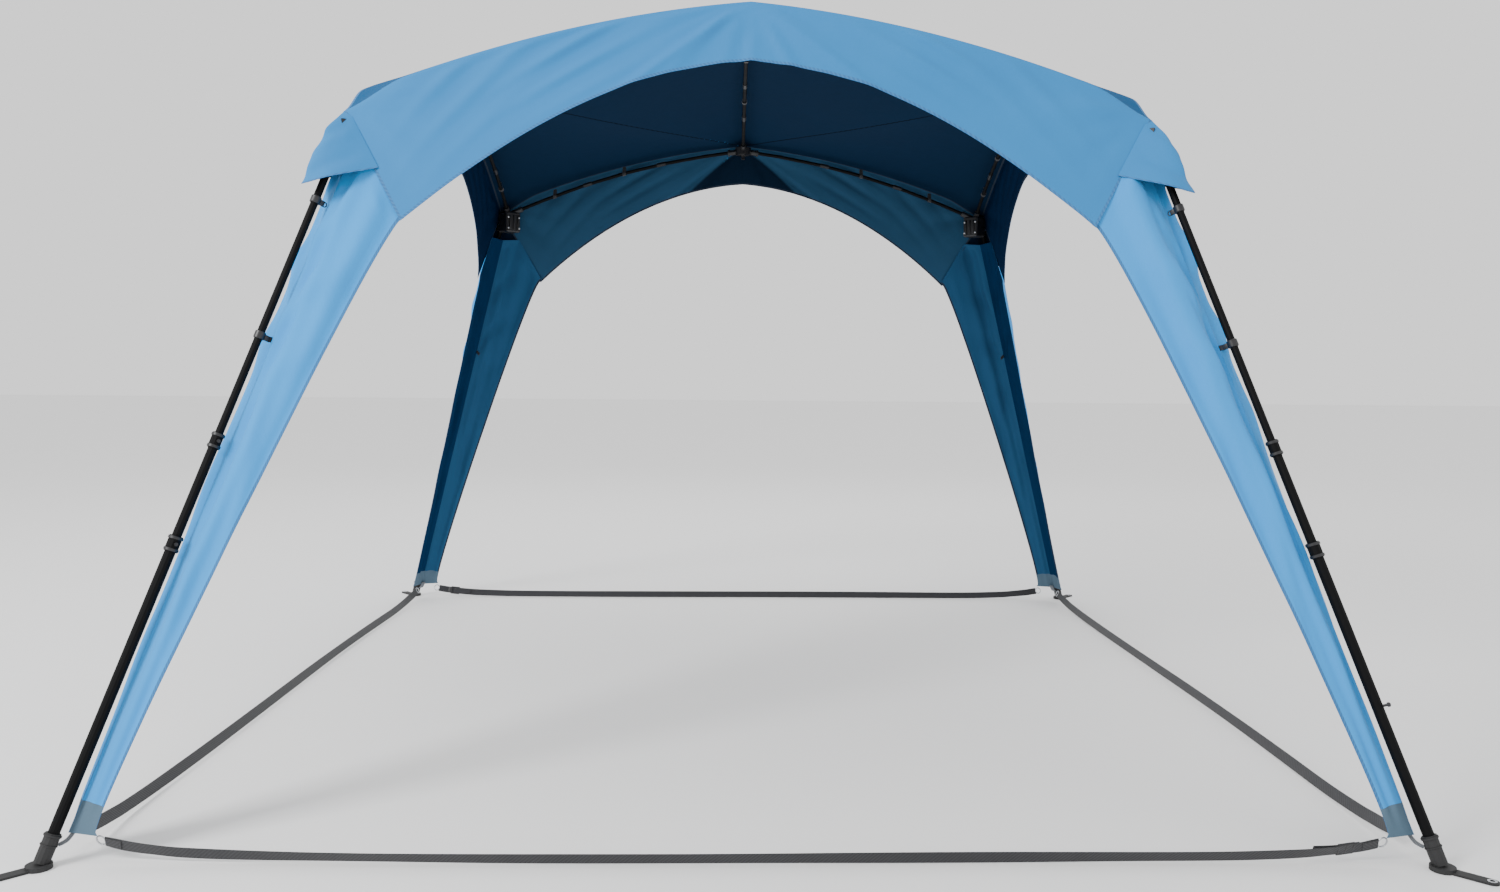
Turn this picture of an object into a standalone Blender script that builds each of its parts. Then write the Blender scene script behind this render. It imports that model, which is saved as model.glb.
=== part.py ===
"""Dome shelter for camping: a hubbed roof frame, four splayed telescopic legs, a sewn canopy and ground straps.

The frame is metres, +Z up, with the origin on the ground at the middle of the four feet. Front is -Y.
The roof frame has a crown hub, four mid hubs and four corner hubs, joined by plug-in poles.
"""

import math

import bmesh
import bpy
from mathutils import Matrix, Vector

# Driving dimensions, metres
FOOT_HALF = 1.80          # half the square that the four feet stand on
CORNER_HALF = 1.15        # corner hub's distance from each centre plane
MID_REACH = 1.11          # mid hub's distance from the centre
MID_HEIGHT = 2.332
CROWN_HEIGHT = 2.52
EAVE_DROP = 0.10          # eave pole: z = MID_HEIGHT - EAVE_DROP x - EAVE_BOW x^2
EAVE_BOW = 0.15
RIDGE_DROP = 0.05         # the straight share of the ridge pole's fall from crown to mid hub

POLE_R = 0.008
SOCKET_R = 0.013
BORE_R = 0.0088
SOCKET_REACH = 0.075      # socket mouth, from its hub's centre
POLE_START = 0.040        # pole end inside the socket, from its hub's centre
STRAIGHT_END = 0.085      # how far from its hub's centre a pole stays straight

PIVOT_OUT = 0.062         # leg pivot, outward along the diagonal from the corner hub's centre
PIVOT_DOWN = 0.044
PIN_R = 0.004
PIN_HOLE_R = 0.0046
EAR_INNER = 0.012
EAR_THICK = 0.006

UPPER_TOP = -0.016        # distances along the leg, from its pivot down to the ground
UPPER_END = 1.163
MIDDLE_TOP = 0.963
MIDDLE_END = 1.66
LOWER_TOP = 1.262
FOOT_GAP = 0.035
COLLAR_LENGTH = 0.045
COLLAR_THICK = 0.003
TUBE_UPPER = (0.0098, 0.0110)   # inner and outer radius of each telescopic tube
TUBE_MIDDLE = (0.0114, 0.0128)
TUBE_LOWER = (0.0132, 0.0146)
BUTTON_R = 0.005
BUTTON_HOLE_R = 0.0054
BUTTON_RECESS = 0.0012    # how deep the button's inner end sits in its collar
BUTTON_LENGTH = 0.0052

FABRIC_RISE = 0.034       # canopy's inner face above the pole centres
FABRIC_HALF = 1.205       # canopy's corner, from each centre plane
FABRIC_MID = 1.165        # canopy's peak over the mid hub
FABRIC_THICK = 0.0012
VISOR_EDGE_MID = (1.205, 2.188)         # reach and height of a visor's lower edge at its middle
VISOR_EDGE_END = (1.013, 1.274, 1.70)   # where the visor's lower edge meets the leg panel
PANEL_TOP = 1.90          # leg panel's top at the corner seam
PANEL_BOTTOM = 0.075
PANEL_GAP = 0.003

STRAP_WIDTH = 0.030
STRAP_THICK = 0.002
STRAP_LEAN = math.radians(65)   # the webbing stands on edge, leaning outward
STRAP_ROUTE = (           # x, distance from the centre, height, for the front strap
    (-1.655, 1.752, 0.052), (-1.60, 1.757, 0.042), (-1.53, 1.762, 0.034), (-1.44, 1.765, 0.027),
    (-1.25, 1.768, 0.0215), (-0.95, 1.776, 0.0200), (-0.60, 1.781, 0.0195), (-0.20, 1.780, 0.0195),
    (0.20, 1.774, 0.0195), (0.60, 1.768, 0.0195), (0.95, 1.764, 0.0200), (1.25, 1.763, 0.0215),
    (1.44, 1.761, 0.027), (1.53, 1.759, 0.034), (1.60, 1.756, 0.042), (1.655, 1.752, 0.052),
)

PAD_R = 0.032
PAD_HEIGHT = 0.012
CAP_R = 0.0195
TAB_REACH = 0.112         # stake eyelet's centre, outward from the foot's centre
TAB_HALF_WIDTH = 0.017
TAB_THICK = 0.006
EYELET_R = 0.008

ROUND = 12                # sides of a turned piece
CORNERS = {"front_left": (-1, -1), "front_right": (1, -1), "back_right": (1, 1), "back_left": (-1, 1)}
SIDES = ("front", "right", "back", "left")   # each is the one before, turned a quarter about Z


def new_collection(name):
    made = bpy.data.collections.new(name)
    bpy.context.scene.collection.children.link(made)
    return made


for old in list(bpy.data.objects):
    bpy.data.objects.remove(old)
MODEL = new_collection("dome_shelter")
CUTTERS = new_collection("cutters")


def material(name, colour, roughness, metallic=0.0):
    made = bpy.data.materials.new(name)
    made.use_nodes = True
    shader = made.node_tree.nodes["Principled BSDF"]
    shader.inputs["Base Color"].default_value = (*colour, 1.0)
    shader.inputs["Roughness"].default_value = roughness
    shader.inputs["Metallic"].default_value = metallic
    return made


BLACK_TUBE = material("black_tube", (0.03, 0.03, 0.033), 0.3, 0.6)
BLACK_PLASTIC = material("black_plastic", (0.015, 0.015, 0.017), 0.45)
STEEL = material("steel", (0.55, 0.55, 0.57), 0.3, 1.0)
BLUE_CLOTH = material("blue_cloth", (0.16, 0.38, 0.62), 0.75)
LIGHT_CLOTH = material("light_cloth", (0.20, 0.47, 0.72), 0.75)
WEBBING = material("webbing", (0.02, 0.02, 0.025), 0.8)
RUBBER = material("rubber", (0.02, 0.02, 0.02), 0.7)


def keep(obj, look=None):
    """Puts a finished piece in the model's collection."""
    MODEL.objects.link(obj)
    if look:
        obj.data.materials.append(look)
    return obj


def helper(obj):
    """Puts a cutter, joined shape or profile in the cutters' collection."""
    CUTTERS.objects.link(obj)
    obj.hide_render = True
    obj.display_type = "WIRE"
    return obj


def from_bmesh(name, bm, place=Matrix()):
    mesh = bpy.data.meshes.new(name)
    bm.to_mesh(mesh)
    bm.free()
    obj = bpy.data.objects.new(name, mesh)
    obj.matrix_world = place
    return obj


def block(name, low, high, place=Matrix()):
    low, high = Vector(low), Vector(high)
    bm = bmesh.new()
    bmesh.ops.create_cube(bm, size=1.0)
    bmesh.ops.scale(bm, vec=high - low, verts=bm.verts)
    bmesh.ops.translate(bm, vec=(low + high) / 2, verts=bm.verts)
    return from_bmesh(name, bm, place)


def rod(name, start, end, radius, sides=ROUND):
    """A solid cylinder between two world points."""
    start, end = Vector(start), Vector(end)
    bm = bmesh.new()
    bmesh.ops.create_cone(bm, cap_ends=True, segments=sides, radius1=radius, radius2=radius,
                          depth=(end - start).length)
    turn = (end - start).to_track_quat("Z", "Y").to_matrix().to_4x4()
    return from_bmesh(name, bm, Matrix.Translation((start + end) / 2) @ turn)


def turned(name, profile, place, closed=True):
    """A solid of revolution: the profile's (radius, z) points run down its outer side."""
    bm = bmesh.new()
    verts = [bm.verts.new((r, 0.0, z)) for r, z in profile]
    for a, b in zip(verts, verts[1:] + verts[:1] if closed else verts[1:]):
        bm.edges.new((a, b))
    obj = from_bmesh(name, bm, place)
    screw = obj.modifiers.new("turn", "SCREW")
    screw.steps = screw.render_steps = ROUND
    screw.use_merge_vertices = True
    screw.merge_threshold = 0.00001
    return obj


def combine(obj, other, operation):
    step = obj.modifiers.new(operation.lower(), "BOOLEAN")
    step.operation = operation
    step.object = helper(other)
    return obj


def wire(name, points, radius, look):
    """A round pole: a poly curve with filled caps."""
    curve = bpy.data.curves.new(name, "CURVE")
    curve.dimensions = "3D"
    curve.bevel_depth = radius
    curve.bevel_resolution = 2
    curve.use_fill_caps = True
    spline = curve.splines.new("POLY")
    spline.points.add(len(points) - 1)
    for spot, point in zip(spline.points, points):
        spot.co = (*point, 1.0)
    return keep(bpy.data.objects.new(name, curve), look)


def quarter(side):
    """The turn about Z that takes the front side to this one."""
    return Matrix.Rotation(math.pi / 2 * SIDES.index(side), 4, "Z")


# Roof frame lines, all drawn for the front side

def eave_point(x):
    """Centre of the front eave pole at x, on either side of its mid hub."""
    away = abs(x)
    reach = MID_REACH + (CORNER_HALF - MID_REACH) * away / CORNER_HALF
    return Vector((x, -reach, MID_HEIGHT - EAVE_DROP * away - EAVE_BOW * away * away))


def ridge_point(r):
    """Centre of the front ridge pole at distance r from the crown."""
    share = r / MID_REACH
    bow = CROWN_HEIGHT - MID_HEIGHT - RIDGE_DROP
    return Vector((0.0, -r, CROWN_HEIGHT - RIDGE_DROP * share - bow * share * share))


def spread(low, high, count):
    return [low + (high - low) * i / (count - 1) for i in range(count)]


def socket_axis(line, start, way):
    """Direction of a pole leaving the hub at line(start), aimed at the line beyond the socket's mouth."""
    return (line(start + way * STRAIGHT_END) - line(start)).normalized()


def pole_line(line, start, end):
    """A pole's centres from hub to hub, straight inside each socket."""
    way = 1 if end > start else -1
    head, tail = socket_axis(line, start, way), socket_axis(line, end, -way)
    middle = [line(v) for v in spread(start + way * 0.18, end - way * 0.18, 5)]
    return [line(start) + head * POLE_START, line(start) + head * STRAIGHT_END, *middle,
            line(end) + tail * STRAIGHT_END, line(end) + tail * POLE_START]


def add_sockets(hub, centre, axes):
    """Gives a hub one round socket with a blind bore along each axis."""
    for way in axes:
        combine(hub, rod("socket", centre + way * 0.012, centre + way * SOCKET_REACH, SOCKET_R), "UNION")
    for way in axes:
        start = centre + way * (POLE_START - 0.004)
        combine(hub, rod("bore", start, centre + way * (SOCKET_REACH + 0.02), BORE_R), "DIFFERENCE")
    return hub


def disc_hub(name, centre, radius, height, axes):
    """A round hub with sockets round it and a short stub below."""
    half = Vector((0, 0, height / 2))
    hub = keep(rod(name, centre - half, centre + half, radius, 16), BLACK_PLASTIC)
    combine(hub, rod("stub", centre - half - Vector((0, 0, 0.022)), centre, 0.009), "UNION")
    return add_sockets(hub, centre, axes)


def build_roof_frame():
    crown = Vector((0, 0, CROWN_HEIGHT))
    ridge_out = socket_axis(ridge_point, 0.0, 1)
    disc_hub("crown_hub", crown, 0.050, 0.036, [quarter(side) @ ridge_out for side in SIDES])
    mid_axes = [socket_axis(eave_point, 0.0, 1), socket_axis(eave_point, 0.0, -1),
                socket_axis(ridge_point, MID_REACH, -1)]
    for side in SIDES:
        turn = quarter(side)
        disc_hub("mid_hub_" + side, turn @ eave_point(0), 0.038, 0.034, [turn @ axis for axis in mid_axes])
        ridge = [turn @ point for point in pole_line(ridge_point, 0.0, MID_REACH)]
        wire("ridge_pole_" + side, ridge, POLE_R, BLACK_TUBE)
        for hand, sign in (("a", -1), ("b", 1)):
            eave = [turn @ point for point in pole_line(eave_point, 0.0, sign * CORNER_HALF)]
            wire("eave_pole_" + side + "_" + hand, eave, POLE_R, BLACK_TUBE)


def corner_place(sx, sy, origin):
    """Local axes at a corner: X outward along the diagonal, Y across it, Z up."""
    out = Vector((sx, sy, 0)).normalized()
    across = Vector((0, 0, 1)).cross(out)
    turn = Matrix((out, across, (0, 0, 1))).transposed().to_4x4()
    return Matrix.Translation(origin) @ turn


def build_corner_hub(corner, sx, sy, centre):
    place = corner_place(sx, sy, centre)
    hub = keep(block("corner_hub_" + corner, (-0.045, -0.040, -0.085), (0.030, 0.040, 0.012), place), BLACK_PLASTIC)
    edge = hub.modifiers.new("rounding", "BEVEL")
    edge.width = 0.006
    edge.segments = 1
    for sign in (-1, 1):
        inner, outer = sorted((sign * EAR_INNER, sign * (EAR_INNER + EAR_THICK)))
        combine(hub, block("ear", (0.015, inner, -0.072), (0.080, outer, -0.017), place), "UNION")
    pin = [place @ Vector((PIVOT_OUT, y, -PIVOT_DOWN)) for y in (-0.03, 0.03)]
    combine(hub, rod("pin_hole", *pin, PIN_HOLE_R), "DIFFERENCE")
    axis = socket_axis(eave_point, CORNER_HALF, -1)
    axes = [Vector((sx * axis.x, -sy * axis.y, axis.z)), Vector((-sx * axis.y, sy * axis.x, axis.z))]
    return add_sockets(hub, centre, axes)


def build_leg(corner, sx, sy, centre):
    """Three nested tubes, their pin, buttons and foot. The leg's own Z runs up it to the pivot."""
    place = corner_place(sx, sy, centre)
    pivot = place @ Vector((PIVOT_OUT, 0, -PIVOT_DOWN))
    foot = Vector((sx * FOOT_HALF, sy * FOOT_HALF, 0))
    length = (foot - pivot).length
    up = (pivot - foot).normalized()
    across = place.col[1].xyz.copy()
    turn = Matrix((across.cross(up), across, up)).transposed().to_4x4()
    leg = Matrix.Translation(pivot) @ turn

    def section(name, top, end, radii, collar):
        inner, outer = radii
        lip = outer + COLLAR_THICK
        rim = [(lip, -top), (lip, -top - COLLAR_LENGTH), (outer, -top - COLLAR_LENGTH)] if collar else [(outer, -top)]
        return keep(turned(name + corner, [*rim, (outer, -end), (inner, -end), (inner, -top)], leg), BLACK_TUBE)

    upper = section("leg_upper_", UPPER_TOP, UPPER_END, TUBE_UPPER, False)
    hole = [place @ Vector((PIVOT_OUT, y, -PIVOT_DOWN)) for y in (-0.02, 0.02)]
    combine(upper, rod("pin_hole", *hole, PIN_HOLE_R), "DIFFERENCE")
    middle = section("leg_middle_", MIDDLE_TOP, MIDDLE_END, TUBE_MIDDLE, True)
    lower = section("leg_lower_", LOWER_TOP, length - FOOT_GAP, TUBE_LOWER, True)
    for tube, name, top, radii in ((middle, "button_upper_", MIDDLE_TOP, TUBE_MIDDLE),
                                   (lower, "button_lower_", LOWER_TOP, TUBE_LOWER)):
        lip = radii[1] + COLLAR_THICK
        down = -top - COLLAR_LENGTH / 2
        cutter = rod("button_hole", leg @ Vector((0, 0.004, down)), leg @ Vector((0, 0.03, down)), BUTTON_HOLE_R)
        combine(tube, cutter, "DIFFERENCE")
        start = lip - BUTTON_RECESS
        ends = [leg @ Vector((0, y, down)) for y in (start, start + BUTTON_LENGTH)]
        keep(rod(name + corner, *ends, BUTTON_R, 12), BLACK_PLASTIC)

    head = EAR_INNER + EAR_THICK + 0.0004
    profile = [(0, head + 0.003), (0.007, head + 0.003), (0.007, head), (PIN_R, head),
               (PIN_R, -head), (0.007, -head), (0.007, -head - 0.003), (0, -head - 0.003)]
    sideways = Matrix.Translation(pivot) @ across.to_track_quat("Z", "Y").to_matrix().to_4x4()
    keep(turned("hinge_pin_" + corner, profile, sideways, closed=False), STEEL)
    build_foot(corner, sx, sy, leg, length)


def build_foot(corner, sx, sy, leg, length):
    """A rubber cap on the tube's end, a round ground pad and a stake tab with its eyelet."""
    ground = corner_place(sx, sy, Vector((sx * FOOT_HALF, sy * FOOT_HALF, 0)))
    base = ground.translation
    high = Vector((0, 0, PAD_HEIGHT))
    foot = keep(rod("foot_" + corner, base, base + high, PAD_R, 16), RUBBER)
    tab = block("tab", (0.0, -TAB_HALF_WIDTH, 0.0001), (TAB_REACH, TAB_HALF_WIDTH, TAB_THICK), ground)
    combine(foot, tab, "UNION")
    eyelet = ground @ Vector((TAB_REACH, 0, 0))
    combine(foot, rod("tab_end", eyelet + Vector((0, 0, 0.0002)), eyelet + Vector((0, 0, TAB_THICK + 0.0001)),
                      TAB_HALF_WIDTH - 0.0002, 12), "UNION")
    combine(foot, rod("cap", leg @ Vector((0, 0, 0.090 - length)), leg @ Vector((0, 0, 0.014 - length)), CAP_R),
            "UNION")
    bore = TUBE_LOWER[1] + 0.0009
    combine(foot, rod("bore", leg @ Vector((0, 0, 0.12 - length)), leg @ Vector((0, 0, FOOT_GAP - 0.0003 - length)), bore),
            "DIFFERENCE")
    combine(foot, rod("eyelet", eyelet - Vector((0, 0, 0.01)), eyelet + Vector((0, 0, 0.03)), EYELET_R),
            "DIFFERENCE")


# Fabric surfaces, all drawn for the front side, with x >= 0

def roof_height(span):
    """Height of the roof cloth where |x| + |y| = span: flat along each line parallel to the crease between mid hubs."""
    if span <= FABRIC_MID:
        return ridge_point(span * MID_REACH / FABRIC_MID).z + FABRIC_RISE
    along = (span - FABRIC_MID) / (2 - FABRIC_MID / FABRIC_HALF)
    return eave_point(along * CORNER_HALF / FABRIC_HALF).z + FABRIC_RISE


def roof_point(across, out):
    """across 0 is the ridge and 1 the diagonal; out 0 is the crown and 1 the eave."""
    x = FABRIC_HALF * out * across
    reach = out * (FABRIC_MID + (FABRIC_HALF - FABRIC_MID) * across)
    return Vector((x, -reach, roof_height(x + reach)))


def visor_edge(along):
    """Lower edge of a visor: an arch from its middle (0) to the leg panel (1)."""
    mid_reach, mid_height = VISOR_EDGE_MID
    end_x, end_reach, end_height = VISOR_EDGE_END
    reach = mid_reach + (end_reach - mid_reach) * along ** 4
    height = mid_height - (mid_height - end_height) * (0.14 * along + 0.86 * along ** 2)
    return Vector((end_x * along, -reach, height))


def visor_point(along, down):
    return roof_point(along, 1.0).lerp(visor_edge(along), down)


def splay(height):
    """Reach of the leg panels' planes at a height."""
    return 1.178 + 0.3102 * (2.005 - height)


def panel_inner(height):
    """Free edge of a leg panel: it follows the arch from the visor to the foot."""
    top_x, top_reach, top_height = VISOR_EDGE_END
    share = (top_height - height) / (top_height - PANEL_BOTTOM)
    x = top_x + 0.652 * share + 0.036 * max(4 * share * (1 - share), 0.0) ** 0.35
    return Vector((x, -splay(height), height))


def panel_point(across, down):
    """across 0 is the corner seam and 1 the free edge; down 0 is the top and 1 the foot."""
    seam_z = PANEL_TOP + (PANEL_BOTTOM - PANEL_TOP) * down
    edge_z = VISOR_EDGE_END[2] - PANEL_GAP * 2 + (PANEL_BOTTOM - VISOR_EDGE_END[2]) * down
    seam = Vector((splay(seam_z) - 0.025, -splay(seam_z) + 0.025, seam_z))
    return seam.lerp(panel_inner(edge_z), across)


def cloth(name, patches, look):
    """One thin solid from patches, each (point function, columns, rows, list of transforms)."""
    bm = bmesh.new()
    for point, columns, rows, places in patches:
        for place in places:
            grid = [[bm.verts.new(place @ point(i / columns, j / rows)) for j in range(rows + 1)]
                    for i in range(columns + 1)]
            for i in range(columns):
                for j in range(rows):
                    bm.faces.new((grid[i][j], grid[i + 1][j], grid[i + 1][j + 1], grid[i][j + 1]))
    bmesh.ops.remove_doubles(bm, verts=bm.verts, dist=0.0002)
    bmesh.ops.dissolve_degenerate(bm, edges=bm.edges, dist=0.0002)
    bmesh.ops.recalc_face_normals(bm, faces=bm.faces)
    bm.faces.ensure_lookup_table()
    top = max(bm.faces, key=lambda face: face.calc_center_median().z)
    if top.normal.z < 0:
        bmesh.ops.reverse_faces(bm, faces=bm.faces)
    obj = keep(from_bmesh(name, bm), look)
    skin = obj.modifiers.new("thickness", "SOLIDIFY")
    skin.thickness = FABRIC_THICK
    skin.offset = 1.0
    return obj


def build_canopy():
    halves = [quarter(side) @ flip for side in SIDES for flip in (Matrix(), Matrix.Scale(-1, 4, (1, 0, 0)))]
    cloth("canopy", [(roof_point, 8, 6, halves), (visor_point, 8, 2, halves)], BLUE_CLOTH)


def build_leg_panel(corner, sx, sy):
    """The front or back wing, and the same wing mirrored in the diagonal plane."""
    wing = Matrix.Diagonal((sx, -sy, 1, 1))
    swap = Matrix(((0, -1, 0, 0), (-1, 0, 0, 0), (0, 0, 1, 0), (0, 0, 0, 1)))
    cloth("leg_panel_" + corner, [(panel_point, 2, 10, [wing, wing @ swap])], LIGHT_CLOTH)


def smooth_route(points, parts):
    """Points on a Catmull-Rom curve through the route's own points."""
    out = []
    padded = [points[0], *points, points[-1]]
    for p0, p1, p2, p3 in zip(padded, padded[1:], padded[2:], padded[3:]):
        for i in range(parts):
            t = i / parts
            out.append(0.5 * ((2 * p1) + (p2 - p0) * t + (2 * p0 - 5 * p1 + 4 * p2 - p3) * t * t
                              + (3 * p1 - p0 - 3 * p2 + p3) * t ** 3))
    return [*out, points[-1]]


def build_straps():
    """Webbing just clear of the ground from leg to leg, lofted along its route."""
    for side in SIDES:
        route = [quarter(side) @ Vector((x, -reach, height)) for x, reach, height in STRAP_ROUTE]
        line = smooth_route(route, 2)
        bm = bmesh.new()
        rows = []
        for before, here, after in zip([line[0], *line], line, [*line[1:], line[-1]]):
            level = Vector((0, 0, 1)).cross(after - before).normalized()
            across = level * math.cos(STRAP_LEAN) - Vector((0, 0, 1)) * math.sin(STRAP_LEAN)
            half = across * STRAP_WIDTH / 2
            rows.append((bm.verts.new(here - half), bm.verts.new(here + half)))
        for (a, b), (c, d) in zip(rows, rows[1:]):
            bm.faces.new((a, c, d, b))
        strap = keep(from_bmesh("ground_strap_" + side, bm), WEBBING)
        skin = strap.modifiers.new("thickness", "SOLIDIFY")
        skin.thickness = STRAP_THICK
        skin.offset = 0.0


build_roof_frame()
for corner, (sx, sy) in CORNERS.items():
    hub_centre = Vector((sx * CORNER_HALF, sy * CORNER_HALF, eave_point(CORNER_HALF).z))
    build_corner_hub(corner, sx, sy, hub_centre)
    build_leg(corner, sx, sy, hub_centre)
    build_leg_panel(corner, sx, sy)
build_canopy()
build_straps()
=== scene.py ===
"""The look of a dome camping shelter: sewn cloth, webbing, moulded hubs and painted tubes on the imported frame."""

import math

import bmesh
import bpy
import numpy as np
from mathutils import Matrix, Vector


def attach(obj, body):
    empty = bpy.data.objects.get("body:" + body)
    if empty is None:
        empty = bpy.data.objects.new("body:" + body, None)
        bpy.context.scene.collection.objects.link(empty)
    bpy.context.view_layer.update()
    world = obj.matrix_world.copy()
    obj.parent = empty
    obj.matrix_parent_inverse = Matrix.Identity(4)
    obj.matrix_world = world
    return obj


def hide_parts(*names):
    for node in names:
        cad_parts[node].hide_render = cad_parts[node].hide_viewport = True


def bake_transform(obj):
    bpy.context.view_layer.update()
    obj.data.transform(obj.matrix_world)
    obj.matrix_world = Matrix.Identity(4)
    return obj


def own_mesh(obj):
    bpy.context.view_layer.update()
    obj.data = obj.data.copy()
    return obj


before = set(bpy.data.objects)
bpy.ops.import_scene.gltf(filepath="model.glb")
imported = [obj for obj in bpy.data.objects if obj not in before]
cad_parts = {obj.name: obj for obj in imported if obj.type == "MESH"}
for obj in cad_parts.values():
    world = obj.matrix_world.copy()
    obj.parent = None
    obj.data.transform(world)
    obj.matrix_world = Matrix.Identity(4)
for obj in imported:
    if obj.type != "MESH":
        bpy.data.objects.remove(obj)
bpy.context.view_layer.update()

# The frame's own dimensions, metres
FOOT_HALF = 1.80
CORNER_HALF = 1.15
MID_REACH = 1.11
MID_HEIGHT = 2.332
CROWN_HEIGHT = 2.52
EAVE_DROP = 0.10
EAVE_BOW = 0.15
RIDGE_DROP = 0.05
PIVOT_OUT = 0.062
PIVOT_DOWN = 0.044
FABRIC_RISE = 0.034
FABRIC_HALF = 1.205
FABRIC_MID = 1.165
VISOR_EDGE_MID = (1.205, 2.188)
VISOR_EDGE_END = (1.013, 1.274, 1.70)
PANEL_BOTTOM = 0.075

CLOTH_THICK = 0.0012
CUT_HEIGHT = 1.36         # where a leg panel's shoulder ends and its lower piece begins
CLIP_DOWN = 0.666         # the clip at that height, along the leg from its pivot

ROOT = "roof_frame"
CORNERS = {"front_left": (-1, -1), "front_right": (1, -1), "back_right": (1, 1), "back_left": (-1, 1)}
SIDES = ("front", "right", "back", "left")


# ---------------------------------------------------------------- materials

def srgb(r, g, b):
    """Linear colour from 0-255 display values."""
    return tuple(((v / 255) / 12.92 if v / 255 <= 0.04045 else ((v / 255 + 0.055) / 1.055) ** 2.4) for v in (r, g, b))


def new_material(name, roughness=0.6, metallic=0.0):
    made = bpy.data.materials.new(name)
    made.use_nodes = True
    shader = made.node_tree.nodes["Principled BSDF"]
    shader.inputs["Roughness"].default_value = roughness
    shader.inputs["Metallic"].default_value = metallic
    return made, made.node_tree, shader


def node(tree, kind, **values):
    made = tree.nodes.new(kind)
    for key, value in values.items():
        if key in made.inputs:
            made.inputs[key].default_value = value
        else:
            setattr(made, key, value)
    return made


def mix_colour(tree, factor, a, b):
    made = node(tree, "ShaderNodeMix", data_type="RGBA")
    for socket, value in ((0, factor), (6, a), (7, b)):
        if isinstance(value, bpy.types.NodeSocket):
            tree.links.new(value, made.inputs[socket])
        else:
            made.inputs[socket].default_value = value if socket == 0 else (*value, 1.0)
    return made.outputs[2]


def math_node(tree, operation, a, b=0.0):
    made = node(tree, "ShaderNodeMath", operation=operation)
    for socket, value in ((0, a), (1, b)):
        if isinstance(value, bpy.types.NodeSocket):
            tree.links.new(value, made.inputs[socket])
        else:
            made.inputs[socket].default_value = value
    return made.outputs[0]


def cloth_material(name, colour, shade, roughness=0.72, sheen=0.06, weave=0.0011, gloss=0.25):
    """Coated plain weave: crossed threads, slubs, a soft unevenness of colour and a slight sheen."""
    made, tree, shader = new_material(name, roughness)
    uv = node(tree, "ShaderNodeUVMap", uv_map="cloth")
    patch = node(tree, "ShaderNodeTexNoise", Scale=3.2, Detail=4.0, Roughness=0.55)
    slub = node(tree, "ShaderNodeTexNoise", Scale=420.0, Detail=2.0)
    tree.links.new(uv.outputs[0], patch.inputs["Vector"])
    tree.links.new(uv.outputs[0], slub.inputs["Vector"])
    threads = []
    for direction in ("X", "Y"):
        wave = node(tree, "ShaderNodeTexWave", bands_direction=direction, Scale=1.0 / (weave * 20 / math.pi) * 1.0,
                    Distortion=0.6, Detail=1.0)
        tree.links.new(uv.outputs[0], wave.inputs["Vector"])
        threads.append(wave.outputs["Fac"])
    weave_height = math_node(tree, "MAXIMUM", *threads)
    uneven = math_node(tree, "MULTIPLY", patch.outputs["Fac"], 1.0)
    tone = mix_colour(tree, uneven, colour, shade)
    thread_tint = math_node(tree, "MULTIPLY", slub.outputs["Fac"], 0.22)
    tone = mix_colour(tree, thread_tint, tone, tuple(c * 0.72 for c in colour))
    tree.links.new(tone, shader.inputs["Base Color"])
    rough = node(tree, "ShaderNodeMapRange")
    rough.inputs["To Min"].default_value = roughness - 0.07
    rough.inputs["To Max"].default_value = roughness + 0.08
    tree.links.new(patch.outputs["Fac"], rough.inputs["Value"])
    tree.links.new(rough.outputs[0], shader.inputs["Roughness"])
    fine = node(tree, "ShaderNodeBump", Strength=0.22, Distance=0.0002)
    tree.links.new(weave_height, fine.inputs["Height"])
    crumple = node(tree, "ShaderNodeTexNoise", Scale=17.0, Detail=4.0, Roughness=0.5)
    tree.links.new(uv.outputs[0], crumple.inputs["Vector"])
    soft = node(tree, "ShaderNodeBump", Strength=0.24, Distance=0.006)
    tree.links.new(crumple.outputs["Fac"], soft.inputs["Height"])
    tree.links.new(fine.outputs[0], soft.inputs["Normal"])
    tree.links.new(soft.outputs[0], shader.inputs["Normal"])
    shader.inputs["Sheen Weight"].default_value = sheen
    shader.inputs["Sheen Roughness"].default_value = 0.5
    shader.inputs["Specular IOR Level"].default_value = gloss
    return made


def darken_for_shade_and_seams(made, factor_of, dark):
    """Darken a cloth where factor_of, given the cloth's sideways and lengthwise distances, reaches 1: used for painted
    shade and for a dark seam line.
    """
    tree = made.node_tree
    shader = tree.nodes["Principled BSDF"]
    plain_tone = shader.inputs["Base Color"].links[0].from_socket
    uv = node(tree, "ShaderNodeUVMap", uv_map="cloth")
    apart = node(tree, "ShaderNodeSeparateXYZ")
    tree.links.new(uv.outputs[0], apart.inputs[0])
    across, along = (math_node(tree, "ABSOLUTE", apart.outputs[k]) for k in (0, 1))
    factor = math_node(tree, "MAXIMUM", math_node(tree, "MINIMUM", factor_of(tree, across, along), 1.0), 0.0)
    tree.links.new(mix_colour(tree, factor, plain_tone, dark), shader.inputs["Base Color"])


def between_creases(tree, across, along):
    """The triangle below a visor's peak, between its two creases, where shade is painted on the inside."""
    half = math_node(tree, "MULTIPLY", math_node(tree, "MINIMUM", math_node(tree, "DIVIDE", along, 0.27), 1.0), 0.47)
    return math_node(tree, "MULTIPLY", math_node(tree, "SUBTRACT", half, across), 45.0)


def on_hub_line(tree, across, along):
    """A thin line across the roof from each eave hub to the next."""
    off = math_node(tree, "SUBTRACT", math_node(tree, "ADD", across, along), 1.165)
    return math_node(tree, "SUBTRACT", 1.0, math_node(tree, "DIVIDE", math_node(tree, "ABSOLUTE", off), 0.008))


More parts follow.
